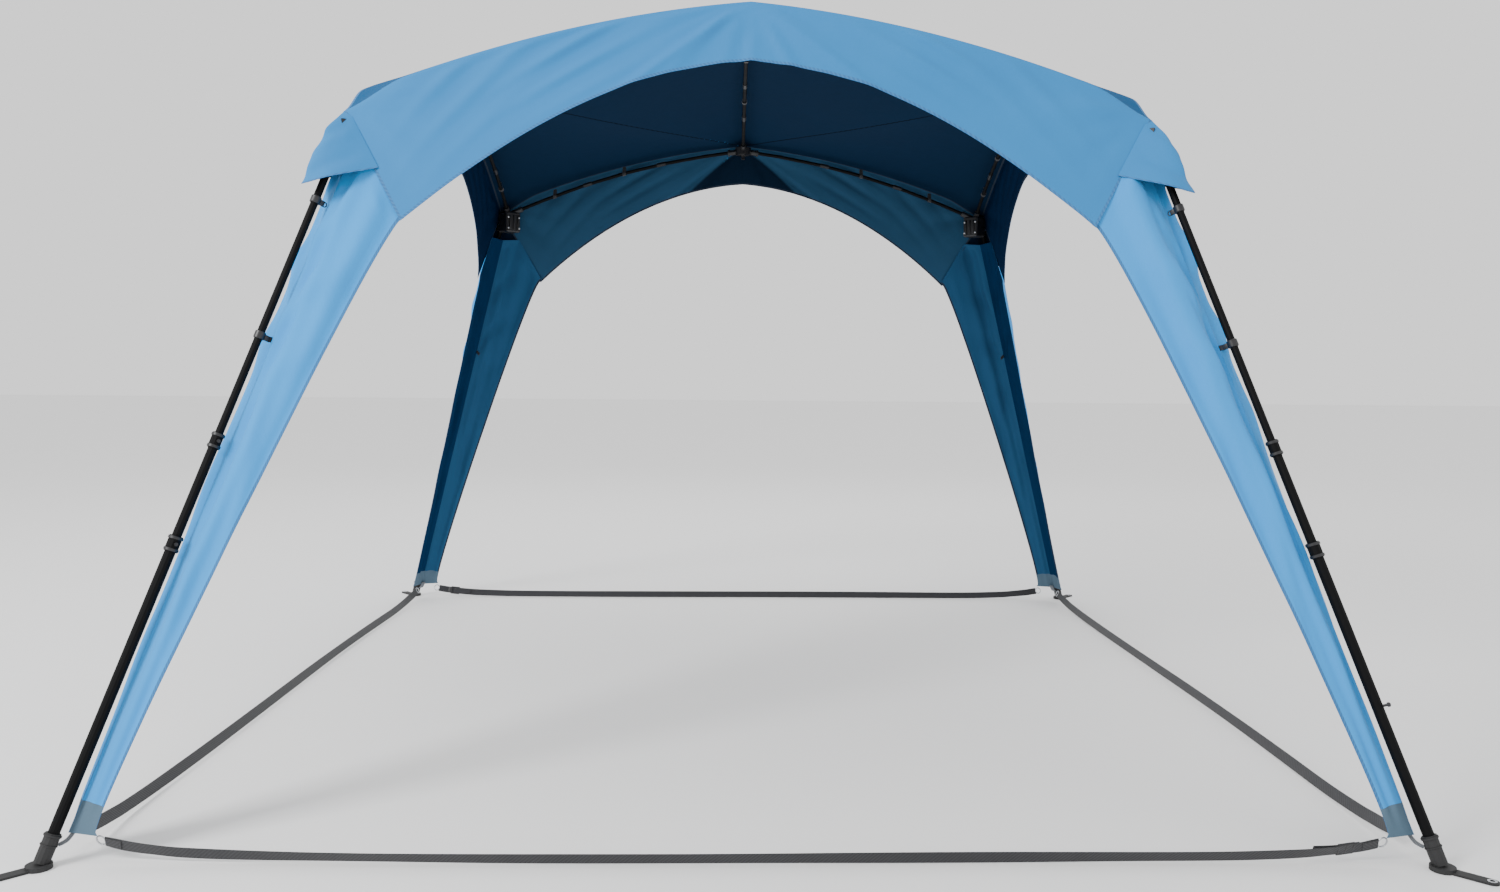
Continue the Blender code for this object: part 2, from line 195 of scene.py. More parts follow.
def hem_material(name, colour, stitch, pitch=0.0035):
    """A folded hem: plain cloth with a raised line of stitches along its length."""
    made, tree, shader = new_material(name, 0.8)
    uv = node(tree, "ShaderNodeUVMap", uv_map="cloth")
    dash = node(tree, "ShaderNodeTexWave", bands_direction="DIAGONAL", Scale=math.pi / (pitch * 20), Distortion=0.2)
    tree.links.new(uv.outputs[0], dash.inputs["Vector"])
    mottled = node(tree, "ShaderNodeTexNoise", Scale=90.0, Detail=2.0)
    tree.links.new(uv.outputs[0], mottled.inputs["Vector"])
    lines = math_node(tree, "MULTIPLY", math_node(tree, "GREATER_THAN", dash.outputs["Fac"], 0.55), 0.35)
    tone = mix_colour(tree, lines, colour, stitch)
    tone = mix_colour(tree, math_node(tree, "MULTIPLY", mottled.outputs["Fac"], 0.3), tone, tuple(c * 0.7 for c in colour))
    tree.links.new(tone, shader.inputs["Base Color"])
    bump = node(tree, "ShaderNodeBump", Strength=0.35, Distance=0.0005)
    tree.links.new(dash.outputs["Fac"], bump.inputs["Height"])
    tree.links.new(bump.outputs[0], shader.inputs["Normal"])
    return made


def webbing_material(name, colour, light):
    """Woven webbing: a herringbone of thick threads."""
    made, tree, shader = new_material(name, 0.75)
    uv = node(tree, "ShaderNodeUVMap", uv_map="cloth")
    waves = []
    for direction, pitch in (("DIAGONAL", 0.0028), ("X", 0.0016)):
        wave = node(tree, "ShaderNodeTexWave", bands_direction=direction, Scale=math.pi / (pitch * 20), Distortion=0.8)
        tree.links.new(uv.outputs[0], wave.inputs["Vector"])
        waves.append(wave.outputs["Fac"])
    height = math_node(tree, "MULTIPLY", *waves)
    worn = node(tree, "ShaderNodeTexNoise", Scale=14.0, Detail=4.0)
    tree.links.new(uv.outputs[0], worn.inputs["Vector"])
    tone = mix_colour(tree, height, colour, light)
    tone = mix_colour(tree, math_node(tree, "MULTIPLY", worn.outputs["Fac"], 0.35), tone, light)
    tree.links.new(tone, shader.inputs["Base Color"])
    bump = node(tree, "ShaderNodeBump", Strength=0.7, Distance=0.0006)
    tree.links.new(height, bump.inputs["Height"])
    tree.links.new(bump.outputs[0], shader.inputs["Normal"])
    shader.inputs["Sheen Weight"].default_value = 0.2
    return made


def solid_material(name, colour, roughness, metallic=0.0, grain=900.0, depth=0.00008, worn=0.12, coat=0.0, light=None):
    """Moulded plastic, rubber or painted metal: fine grain, uneven gloss and slightly rubbed patches."""
    made, tree, shader = new_material(name, roughness, metallic)
    where = node(tree, "ShaderNodeTexCoord")
    fine = node(tree, "ShaderNodeTexNoise", Scale=grain, Detail=3.0)
    broad = node(tree, "ShaderNodeTexNoise", Scale=22.0, Detail=5.0, Roughness=0.6)
    tree.links.new(where.outputs["Object"], fine.inputs["Vector"])
    tree.links.new(where.outputs["Object"], broad.inputs["Vector"])
    light = light or tuple(min(1.0, c * 1.8 + 0.012) for c in colour)
    tone = mix_colour(tree, math_node(tree, "MULTIPLY", broad.outputs["Fac"], 0.6), colour, light)
    tree.links.new(tone, shader.inputs["Base Color"])
    rough = node(tree, "ShaderNodeMapRange")
    rough.inputs["To Min"].default_value = max(0.05, roughness - worn)
    rough.inputs["To Max"].default_value = min(1.0, roughness + worn)
    tree.links.new(broad.outputs["Fac"], rough.inputs["Value"])
    tree.links.new(rough.outputs[0], shader.inputs["Roughness"])
    bump = node(tree, "ShaderNodeBump", Strength=0.3, Distance=depth)
    tree.links.new(fine.outputs["Fac"], bump.inputs["Height"])
    tree.links.new(bump.outputs[0], shader.inputs["Normal"])
    shader.inputs["Coat Weight"].default_value = coat
    shader.inputs["Coat Roughness"].default_value = 0.15
    return made


# Painted shade: the roof's outside is a darker copy of the visor's cloth, as if its top faced away from the light.
ROOF_OUTSIDE_PAINTED_SHADE = cloth_material("roof_outside_painted_shade", srgb(26, 82, 128), srgb(32, 90, 136), 0.85, 0.0, gloss=0.05)
OUT_VISOR = cloth_material("visor_outside", srgb(34, 120, 182), srgb(42, 128, 190))
OUT_PANEL = cloth_material("panel_outside", srgb(38, 146, 222), srgb(46, 154, 228))
# Painted shade: the insides are dark copies of the same cloth, standing in for the shade under the canopy.
ROOF_INSIDE_PAINTED_SHADE = cloth_material("roof_inside_painted_shade", srgb(14, 36, 60), srgb(16, 40, 64), 0.9, 0.0, gloss=0.04)
# Painted light and shade: the front and back visors' insides (and the cowls') are painted lighter, as if lit from the
# front, and the side visors' insides darker.
VISOR_INSIDE_PAINTED_LIGHT_AND_SHADE = cloth_material("visor_inside_painted_light_and_shade", srgb(40, 74, 102), srgb(46, 82, 112), 0.9, 0.0, gloss=0.08)
SIDE_VISOR_INSIDE_PAINTED_SHADE = cloth_material("side_visor_inside_painted_shade", srgb(4, 30, 60), srgb(6, 35, 66), 0.9, 0.0, gloss=0.04)
# Painted light and shade: the leg panels' front- or back-facing wings are painted lighter inside, and the side wings
# darker.
PANEL_INSIDE_PAINTED_LIGHT_AND_SHADE = cloth_material("panel_inside_painted_light_and_shade", srgb(38, 78, 114), srgb(44, 88, 124), 0.9, 0.0, gloss=0.08)
SIDE_WING_INSIDE_PAINTED_SHADE = cloth_material("side_wing_inside_painted_shade", srgb(6, 44, 78), srgb(10, 50, 86), 0.9, 0.0, gloss=0.04)
# Painted shade: the triangle between each visor's creases is darkened on the inside. The roof's hub lines are a dark
# seam.
darken_for_shade_and_seams(VISOR_INSIDE_PAINTED_LIGHT_AND_SHADE, between_creases, srgb(10, 30, 50))
darken_for_shade_and_seams(ROOF_INSIDE_PAINTED_SHADE, on_hub_line, srgb(0, 8, 20))
HEM = hem_material("hem", srgb(40, 104, 160), srgb(70, 140, 196))
# Painted shade: the inside hems are a darker copy of the outside hem.
HEM_INSIDE_PAINTED_SHADE = hem_material("hem_inside_painted_shade", srgb(8, 30, 52), srgb(22, 50, 76))
PATCH = cloth_material("foot_patch", srgb(78, 102, 120), srgb(88, 112, 130), 0.8, 0.0, weave=0.0022)
WEBBING = webbing_material("webbing_black", srgb(18, 18, 22), srgb(48, 49, 54))
WEBBING_GREY = webbing_material("webbing_grey", srgb(70, 76, 84), srgb(128, 134, 142))
PLASTIC = solid_material("moulded_black", srgb(20, 20, 23), 0.42, grain=1400.0, depth=0.00012)
TUBE = solid_material("powder_coat", srgb(6, 6, 7), 0.6, grain=1500.0, depth=0.00001, light=srgb(12, 12, 14))
TUBE.node_tree.nodes["Principled BSDF"].inputs["Specular IOR Level"].default_value = 0.12
RUBBER = solid_material("rubber_black", srgb(24, 24, 25), 0.7, grain=700.0, depth=0.0002)
STEEL_DARK = solid_material("dark_steel", srgb(30, 30, 33), 0.4, metallic=0.5, grain=1500.0, depth=0.00001)
STEEL = solid_material("plated_steel", srgb(176, 178, 182), 0.3, metallic=1.0, grain=1800.0, depth=0.00003)


# ---------------------------------------------------------------- geometry helpers

def place_mesh(name, mesh, materials, body):
    obj = bpy.data.objects.new(name, mesh)
    bpy.context.scene.collection.objects.link(obj)
    for look in materials:
        mesh.materials.append(look)
    if body:
        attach(obj, body)
    return obj


def quarter(side):
    return Matrix.Rotation(math.pi / 2 * SIDES.index(side), 4, "Z")


class Surface:
    """A sewn surface made of grids of points that share their edges, from which closed thin sheets are cut."""

    def __init__(self):
        self.points, self.uvs, self.index = [], [], {}
        self.faces, self.tags, self.keys = [], [], []

    def vertex(self, point, uv):
        key = (round(point[0] * 2e4), round(point[1] * 2e4), round(point[2] * 2e4))
        if key not in self.index:
            self.index[key] = len(self.points)
            self.points.append(point)
        return self.index[key]

    def grid(self, points, uvs, tags, keys, flip):
        """points[i][j] with tags[i][j] (material) and keys[i][j] (which piece) for the cell above (i, j)."""
        ids = [[self.vertex(p, None) for p in row] for row in points]
        for i in range(len(ids) - 1):
            for j in range(len(ids[0]) - 1):
                cell = [(i, j), (i + 1, j), (i + 1, j + 1), (i, j + 1)]
                if flip:
                    cell.reverse()
                quad = [ids[a][b] for a, b in cell]
                uv = [uvs[a][b] for a, b in cell]
                keep = [k for k in range(4) if quad[k] != quad[k - 1]]
                if len(keep) < 3:
                    continue
                self.faces.append([quad[k] for k in keep])
                self.uvs.append([uv[k] for k in keep])
                self.tags.append(tags[i][j])
                self.keys.append(keys[i][j])

    def normals(self):
        points = np.array(self.points)
        total = np.zeros_like(points)
        for face in self.faces:
            p = points[face]
            normal = np.cross(p[2] - p[0], p[-1] - p[1])
            for v in face:
                total[v] += normal
        return total / np.maximum(np.linalg.norm(total, axis=1, keepdims=True), 1e-12)

    def piece(self, name, key, thick, outer, inner, rim):
        """One closed sheet of the faces with this key, with its own outer, inner and rim materials."""
        points, normals = np.array(self.points), self.normal_cache
        chosen = [k for k in range(len(self.faces)) if self.keys[k] == key]
        used, local = [], {}
        for k in chosen:
            for v in self.faces[k]:
                if v not in local:
                    local[v] = len(used)
                    used.append(v)
        count = len(used)
        coords = np.concatenate([points[used] + normals[used] * thick / 2, points[used] - normals[used] * thick / 2])
        faces, looks, loop_uvs, loop_normals = [], [], [], []
        edges = {}
        for k in chosen:
            face = [local[v] for v in self.faces[k]]
            faces.append(face)
            looks.append(self.tags[k])
            loop_uvs += self.uvs[k]
            loop_normals += [tuple(normals[used[v]]) for v in face]
            faces.append([v + count for v in reversed(face)])
            looks.append(self.tags[k] + len(outer))
            loop_uvs += list(reversed(self.uvs[k]))
            loop_normals += [tuple(-normals[used[v]]) for v in reversed(face)]
            for n, v in enumerate(face):
                w = face[(n + 1) % len(face)]
                edges[(v, w)] = (self.uvs[k][n], self.uvs[k][(n + 1) % len(face)])
        for (v, w), (uv_v, uv_w) in edges.items():
            if (w, v) in edges:
                continue
            faces.append([w, v, v + count, w + count])
            looks.append(len(outer) + len(inner))
            loop_uvs += [uv_w, uv_v, uv_v, uv_w]
            across = np.cross(coords[v] - coords[w], coords[v + count] - coords[v])
            across = across / max(np.linalg.norm(across), 1e-12)
            loop_normals += [tuple(across)] * 4
        mesh = bpy.data.meshes.new(name)
        mesh.from_pydata([tuple(c) for c in coords], [], faces)
        mesh.polygons.foreach_set("material_index", looks)
        layer = mesh.uv_layers.new(name="cloth")
        layer.data.foreach_set("uv", [value for uv in loop_uvs for value in uv])
        mesh.polygons.foreach_set("use_smooth", [True] * len(faces))
        mesh.normals_split_custom_set(loop_normals)
        return mesh, [*outer, *inner, rim]

    def finish(self):
        self.normal_cache = self.normals()


def smooth(value):
    value = min(1.0, max(0.0, value))
    return value * value * (3 - 2 * value)


def bump_at(value, centre, width):
    return math.exp(-((value - centre) / width) ** 2)


# ---------------------------------------------------------------- cloth shape

def eave_height(x):
    return MID_HEIGHT - EAVE_DROP * abs(x) - EAVE_BOW * x * x


def ridge_height(r):
    share = r / MID_REACH
    return CROWN_HEIGHT - RIDGE_DROP * share - (CROWN_HEIGHT - MID_HEIGHT - RIDGE_DROP) * share * share


def roof_height(span):
    if span <= FABRIC_MID:
        return ridge_height(span * MID_REACH / FABRIC_MID) + FABRIC_RISE
    along = (span - FABRIC_MID) / (2 - FABRIC_MID / FABRIC_HALF)
    return eave_height(along * CORNER_HALF / FABRIC_HALF) + FABRIC_RISE


def soften(p):
    """The cloth's corners are rounded over the corner hubs."""
    away = math.hypot(FABRIC_HALF - abs(p.x), FABRIC_HALF - abs(p.y))
    near = smooth(1 - away / 0.20)
    drop = -0.026 * near
    inward = 0.010 * near
    return Vector((p.x - math.copysign(inward, p.x), p.y - math.copysign(inward, p.y), p.z + drop))


def roof_base(a, out):
    """a runs from -1 to 1 between the diagonals, out from the crown to the eave."""
    x = FABRIC_HALF * out * a
    reach = out * (FABRIC_MID + (FABRIC_HALF - FABRIC_MID) * abs(a))
    return soften(Vector((x, -reach, roof_height(abs(x) + reach))))


def visor_edge(a):
    mid_reach, mid_height = VISOR_EDGE_MID
    end_x, end_reach, end_height = VISOR_EDGE_END
    along = abs(a)
    reach = mid_reach + (end_reach - mid_reach) * along ** 4
    height = mid_height - (mid_height - end_height) * (0.14 * along + 0.86 * along ** 2)
    return Vector((end_x * a, -reach, height))


def visor_base(a, down):
    return roof_base(a, 1.0).lerp(visor_edge(a), down)


def pinch(angle):
    """A wave whose crests are drawn up into narrow ridges."""
    return 1.7 * ((1 + math.sin(angle)) / 2) ** 2 - 0.6


def fan(x, z, folds, phase, reach):
    """Height of folds that spread from the origin, strongest a short way out and gone at reach."""
    away = math.hypot(x, z)
    if away < 1e-6:
        return 0.0
    angle = math.atan2(x, z)
    wave = pinch(folds * angle + phase) + 0.45 * pinch(folds * 1.7 * angle + phase * 2.3)
    return wave * smooth(away / (reach * 0.7)) * math.exp(-(away / reach) ** 2)


def visor_fold(a, down, seed):
    """Outward shift of the visor's cloth."""
    top, low = roof_base(a, 1.0), visor_edge(a)
    depth = (top - low).length
    x, z = visor_base(a, down).x, depth * down
    side = 1 if x >= 0 else -1
    free = smooth(down / 0.12)
    crease_x = 0.47 * min(1.0, z / 0.27)
    crease = 0.0065 * bump_at(abs(x), crease_x, 0.030) * smooth(z / 0.06)
    hollow = -0.006 * smooth((crease_x - abs(x)) / 0.2) * smooth(z / 0.1)
    peak = 0.0026 * fan(x, z + 0.02, 13, seed, 0.30)
    eave = 0.0034 * pinch((z * 78 - abs(x) * 26) + seed * side) * bump_at(abs(x), 0.52, 0.17) * (1 - down) ** 0.8
    eave2 = 0.0026 * pinch((z * 52 - abs(x) * 34) + 1.7 * seed * side) * bump_at(abs(x), 0.84, 0.15) * (1 - down)
    corner = 0.0032 * fan(1.19 - abs(x), z + 0.02, 11, seed * 1.3 + side, 0.34)
    broad = 0.0022 * math.sin(3.1 * x + seed) * math.sin(math.pi * down)
    ends = smooth((1 - abs(a)) / 0.05)
    return free * ends * (1.1 * crease + 1.2 * hollow + 1.7 * (peak + corner) + 2.4 * (eave + eave2) + 1.5 * broad)


def roof_fold(x, y):
    """Upward shift of the roof's cloth: shallow folds that spread from the hubs, and a sag between the poles."""
    total = 0.0
    for k, (hx, hy) in enumerate(((0, -1.165), (1.165, 0), (0, 1.165), (-1.165, 0))):
        dx, dy = x - hx, y - hy
        inward = -(dx * hx + dy * hy) / 1.165
        total += 0.0024 * fan(-dx * hy / 1.165 + dy * hx / 1.165, inward, 12, k * 1.9, 0.34)
    total += 0.0018 * fan(x, y, 10, 0.6, 0.4)
    edge = max(abs(x), abs(y)) / FABRIC_HALF
    sag = -0.010 * (math.sin(math.pi * min(1.0, abs(x) / 1.18)) * math.sin(math.pi * min(1.0, abs(y) / 1.18)))
    fade = 1 - smooth((edge - 0.9) / 0.08)
    near = smooth(min(abs(x), abs(y)) / 0.05)
    return (total * 0.9 * near + sag) * fade


def frame_at(where, z_way, x_way=None):
    """A matrix at a point whose Z runs along z_way and whose X leans to x_way."""
    z = Vector(z_way).normalized()
    x = Vector(x_way) if x_way is not None else (Vector((1, 0, 0)) if abs(z.x) < 0.9 else Vector((0, 1, 0)))
    x = (x - z * x.dot(z)).normalized()
    return Matrix.Translation(where) @ Matrix((x, z.cross(x), z)).transposed().to_4x4()


def leg_frame(corner, sx, sy):
    """Axes of a leg: origin at its pivot, Z up along the leg, X outward."""
    out = Vector((sx, sy, 0)).normalized()
    hub = Vector((sx * CORNER_HALF, sy * CORNER_HALF, eave_height(CORNER_HALF)))
    pivot = hub + out * PIVOT_OUT - Vector((0, 0, PIVOT_DOWN))
    up = (pivot - Vector((sx * FOOT_HALF, sy * FOOT_HALF, 0))).normalized()
    return frame_at(pivot, up, out), (pivot - Vector((sx * FOOT_HALF, sy * FOOT_HALF, 0))).length


ROOF_COLUMNS, ROOF_ROWS, VISOR_ROWS = 136, 52, 40
HEM_WIDTH = 0.008


def build_canopy():
    cloth = Surface()
    columns = [-1 + 2 * i / ROOF_COLUMNS for i in range(ROOF_COLUMNS + 1)]
    columns[1], columns[-2] = -1 + 0.006, 1 - 0.006
    for s, side in enumerate(SIDES):
        turn = quarter(side)
        rows = [j / ROOF_ROWS for j in range(ROOF_ROWS + 1)]
        rows[-2] = 1 - HEM_WIDTH / 1.165
        points = []
        for a in columns:
            line = []
            for out in rows:
                p = turn @ roof_base(a, out)
                p.z += roof_fold(p.x, p.y)
                line.append(tuple(p))
            points.append(line)
        uvs = [[(p[0], p[1]) for p in line] for line in points]
        tags = [[3 if j == ROOF_ROWS - 1 else 0 for j in range(ROOF_ROWS)] for _ in columns]
        keys = [["canopy"] * ROOF_ROWS for _ in columns]
        cloth.grid(points, uvs, tags, keys, True)

        rows = [j / VISOR_ROWS for j in range(VISOR_ROWS + 1)]
        points, uvs = [], []
        for i, a in enumerate(columns):
            top, low = roof_base(a, 1.0), visor_edge(a)
            depth = max(0.02, (top - low).length)
            tangent = roof_base(min(1, a + 0.01), 1.0) - roof_base(max(-1, a - 0.01), 1.0)
            outward = (low - top).cross(tangent).normalized() * -1
            if outward.y > 0:
                outward = -outward
            stops = rows[:-2] + [1 - HEM_WIDTH / depth, 1.0]
            line, uv = [], []
            for down in stops:
                p = visor_base(a, down) + outward * visor_fold(a, down, 0.9 + 1.37 * s)
                line.append(tuple(turn @ p))
                uv.append((a * 1.2, -depth * down))
            points.append(line)
            uvs.append(uv)
        # Side visors take the darker painted-shade inside; front and back visors take the lighter painted-light inside.
        plain = 1 if side in ("front", "back") else 4
        tags = [[2 if j == VISOR_ROWS - 1 or i in (0, ROOF_COLUMNS - 1) else plain for j in range(VISOR_ROWS)]
                for i in range(ROOF_COLUMNS + 1)]
        keys = [["canopy"] * VISOR_ROWS for _ in columns]
        cloth.grid(points, uvs, tags, keys, True)
    cloth.finish()
    mesh, looks = cloth.piece("canopy_cloth", "canopy", CLOTH_THICK, [ROOF_OUTSIDE_PAINTED_SHADE, OUT_VISOR, HEM, HEM, OUT_VISOR],
                              [ROOF_INSIDE_PAINTED_SHADE, VISOR_INSIDE_PAINTED_LIGHT_AND_SHADE, HEM_INSIDE_PAINTED_SHADE, HEM_INSIDE_PAINTED_SHADE, SIDE_VISOR_INSIDE_PAINTED_SHADE], HEM)
    obj = place_mesh("canopy_cloth", mesh, looks, ROOT)
    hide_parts("canopy")
    return obj


# ---------------------------------------------------------------- leg panels

def splay(height):
    return 1.178 + 0.3102 * (2.005 - height)


def panel_edge(share):
    """Free edge of a leg panel, from the visor (0) to the foot (1)."""
    top_x, top_reach, top_height = VISOR_EDGE_END
    height = top_height + (PANEL_BOTTOM - top_height) * share
    x = top_x + 0.652 * share + 0.036 * max(4 * share * (1 - share), 0.0) ** 0.35
    reach = splay(height) + (top_reach - splay(top_height)) * (1 - share)
    return Vector((x, -reach, height))


def panel_seam(share):
    height = 1.90 + (PANEL_BOTTOM - 1.90) * share
    return Vector((splay(height) - 0.025, -splay(height) + 0.025, height))


def panel_base(u, v):
    """Wing of the front right panel: u from the corner seam to the free edge, v from the top to the foot."""
    tuck = Vector((-0.008, 0.010, 0.010))
    seam_top, seam_low = panel_seam(0), panel_seam(1)
    edge_top, edge_low = panel_edge(0) + tuck, panel_edge(1)
    bend = Vector((1.119, -1.235, 1.897)) + tuck
    top = seam_top.lerp(bend, u / 0.4) if u < 0.4 else bend.lerp(edge_top, (u - 0.4) / 0.6)
    low = seam_low.lerp(edge_low, u)
    sides = panel_seam(v).lerp(panel_edge(v) + tuck * (1 - v) ** 12, u)
    ends = top.lerp(low, v)
    corners = seam_top.lerp(edge_top, u).lerp(seam_low.lerp(edge_low, u), v)
    return sides + ends - corners


def panel_fold(u, v, seed):
    """Outward shift of a wing: folds that start under the corner and run down the leg, and a slack middle."""
    width = 0.25 * (1 - v) + 0.09
    away = v * 1.85
    long_folds = math.sin(u * 9.5 + away * 1.6 + seed) * 0.0034 + math.sin(u * 17 - away * 2.2 + 2 * seed) * 0.0015
    slant = 0.0042 * pinch(away * 25 + u * 8.5 + seed) * bump_at(away, 0.36, 0.30) * bump_at(u, 0.35, 0.4)
    slant2 = 0.0022 * pinch(away * 13 - u * 6 + 1.4 * seed) * bump_at(away, 1.0, 0.5)
    ends = smooth(v / 0.03) * smooth((1 - v) / 0.05)
    rim = smooth(u / 0.1) * (0.35 + 0.65 * smooth((1 - u) / 0.12))
    belly = 0.006 * math.sin(math.pi * u) * width / 0.3
    return (1.5 * long_folds * width / 0.2 + 2.0 * slant + 1.8 * slant2 + belly) * ends * rim


PANEL_COLUMNS, PANEL_ROWS = 22, 190


def build_leg_panel(corner, sx, sy, seed):
    wing = Matrix.Diagonal((sx, -sy, 1, 1))
    swap = Matrix(((0, -1, 0, 0), (-1, 0, 0, 0), (0, 0, 1, 0), (0, 0, 0, 1)))
    cloth = Surface()
    step = 0.004
    shares = [j / PANEL_ROWS for j in range(PANEL_ROWS + 1)]
    # The wing facing front or back is first, and the one facing a side second. Their insides carry painted light and
    # shade: the side wing darker, the other lighter.
    for w, turn in enumerate((wing, wing @ swap)):
        flip = (turn.to_3x3().determinant() < 0)
        points, uvs, tags, keys = [], [], [], []
        across = [i / (PANEL_COLUMNS - 1) for i in range(PANEL_COLUMNS)]
        for u in across:
            line, uv, tag, key = [], [], [], []
            for v in shares:
                width = (panel_seam(v) - panel_edge(v)).length
                spot = u * (1 - HEM_WIDTH / width) / (1 - 1 / (PANEL_COLUMNS - 1)) if u < 0.999 else 1.0
                spot = min(spot, 1.0)
                base = panel_base(spot, v)
                du = panel_base(min(1, spot + step), v) - panel_base(max(0, spot - step), v)
                dv = panel_base(spot, min(1, v + step)) - panel_base(spot, max(0, v - step))
                normal = du.cross(dv).normalized()
                if normal.y > 0:
                    normal = -normal
                p = base + normal * (panel_fold(spot, v, seed + 2.1 * w) - 0.0020)
                line.append(tuple(turn @ p))
                uv.append((spot * width + 3 * w, -v * 1.9))
                hem = u > 1 - 1.5 / (PANEL_COLUMNS - 1)
                tag.append(2 if v > 0.955 else (1 if hem else (3 if w else 0)))
                key.append("shoulder" if base.z > CUT_HEIGHT else "lower")
            points.append(line)
            uvs.append(uv)
            tags.append(tag)
            keys.append(key)
        # A row is all shoulder or all lower, so that the cut is one clean line
        row_key = [keys[0][j] for j in range(PANEL_ROWS + 1)]
        keys = [row_key for _ in across]
        cloth.grid(points, uvs, tags, keys, flip)
    cloth.finish()
    made = []
    for key in ("shoulder", "lower"):
        mesh, looks = cloth.piece("leg_panel_%s_%s" % (key, corner), key, CLOTH_THICK, [OUT_PANEL, HEM, PATCH, OUT_PANEL],
                                  [PANEL_INSIDE_PAINTED_LIGHT_AND_SHADE, HEM_INSIDE_PAINTED_SHADE, PATCH, SIDE_WING_INSIDE_PAINTED_SHADE], HEM)
        obj = place_mesh(mesh.name, mesh, looks, None)
        if key == "shoulder":
            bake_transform(obj)
        else:
            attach(obj, "leg_upper_" + corner)
            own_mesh(obj)
            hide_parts("leg_panel_" + corner)
        made.append(obj)
    return made


# ---------------------------------------------------------------- corner cowls

def cowl_point(u, v):
    """Flap over the front right corner hub: u from the front seam (-1) to the side seam (1), v down from the corner."""
    corner = soften(Vector((FABRIC_HALF, -FABRIC_HALF, eave_height(CORNER_HALF) + FABRIC_RISE)))
    end = Vector((VISOR_EDGE_END[0], -VISOR_EDGE_END[1], VISOR_EDGE_END[2]))
    seam = corner.lerp(end, 0.52 * v) + Vector((-0.018 * smooth(v / 0.1), 0, 0))
    crest_out = 0.020 * smooth(v / 0.3) + 0.073 * v
    crest = Vector((corner.x + crest_out, corner.y - crest_out, corner.z - 0.225 * v))
    to_front = Vector((-1, -1, 0)).normalized()
    control = crest + to_front * 0.045 * v
    t = 1 - abs(u)
    half = seam * (1 - t) ** 2 + control * 2 * t * (1 - t) + crest * t * t
    if u > 0:
        half = Vector((-half.y, -half.x, half.z))
    return half


COWL_COLUMNS, COWL_ROWS = 60, 44


def build_cowl(corner, sx, sy, seed):
    turn = Matrix.Diagonal((sx, -sy, 1, 1))
    cloth = Surface()
    points, uvs, tags = [], [], []
    for i in range(COWL_COLUMNS + 1):
        u = -1 + 2 * i / COWL_COLUMNS
        line, uv, tag = [], [], []
        for j in range(COWL_ROWS + 1):
            v = j / COWL_ROWS
            p = cowl_point(u, v)
            outward = Vector((p.x + (0.25 if u > 0 else -0.1) * abs(u), p.y - (0.25 if u < 0 else -0.1) * abs(u), 0)).normalized()
            open_u = smooth((1 - abs(u)) / 0.25)
            folds = 0.0040 * math.sin(v * 11 + 3.2 * abs(u) + seed) + 0.0009 * math.sin(v * 25 - 5 * u + 2 * seed)
            flare = 0.010 * smooth((v - 0.6) / 0.4) * math.sin(math.pi * min(1, (1 - abs(u)) * 1.3) / 1) ** 2
            p = p + outward * (0.003 * smooth(v / 0.06) + folds * open_u * smooth(v / 0.3) + flare)
            line.append(tuple(turn @ p))
            uv.append((u * 0.16, -v * 0.26))
            tag.append(1 if j == COWL_ROWS - 1 else 0)
        points.append(line)
        uvs.append(uv)
        tags.append(tag)
    keys = [["cowl"] * (COWL_ROWS + 1)] * (COWL_COLUMNS + 1)
    cloth.grid(points, uvs, tags, keys, turn.to_3x3().determinant() > 0)
    cloth.finish()
    mesh, looks = cloth.piece("corner_cowl_" + corner, "cowl", CLOTH_THICK, [OUT_VISOR, HEM], [VISOR_INSIDE_PAINTED_LIGHT_AND_SHADE, HEM_INSIDE_PAINTED_SHADE], HEM)
    obj = place_mesh(mesh.name, mesh, looks, ROOT)
    return obj


build_canopy()
for number, (corner, (sx, sy)) in enumerate(CORNERS.items()):
    build_leg_panel(corner, sx, sy, 0.7 + 1.9 * number)
    build_cowl(corner, sx, sy, 0.4 + 1.3 * number)


# ---------------------------------------------------------------- CAD nodes' own looks

def dress(prefixes, look):
    for name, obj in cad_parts.items():
        if name.startswith(prefixes):
            obj.data.materials.clear()
            obj.data.materials.append(look)


dress(("crown_hub", "mid_hub", "corner_hub", "button"), PLASTIC)
dress(("eave_pole", "ridge_pole", "leg_upper", "leg_middle", "leg_lower"), TUBE)
dress(("foot",), RUBBER)
dress(("hinge_pin",), STEEL)
dress(("ground_strap",), WEBBING)


# ---------------------------------------------------------------- hardware

def merge(name, parts, materials, body):
    """Joins bmesh parts, each (bmesh, material number), into one piece."""
    whole = bmesh.new()
    whole_uv = whole.loops.layers.uv.new("cloth")
    for bm, look in parts:
        mesh = bpy.data.meshes.new("part")
        for face in bm.faces:
            face.material_index = look
        bm.to_mesh(mesh)
        bm.free()
        whole.from_mesh(mesh)
        bpy.data.meshes.remove(mesh)
    for face in whole.faces:
        face.smooth = True
        for loop in face.loops:
            if loop[whole_uv].uv.length == 0:
                loop[whole_uv].uv = (loop.vert.co.x + loop.vert.co.y, loop.vert.co.z)
    mesh = bpy.data.meshes.new(name)
    whole.to_mesh(mesh)
    whole.free()
    mesh.set_sharp_from_angle(angle=math.radians(38))
    return place_mesh(name, mesh, materials, body)


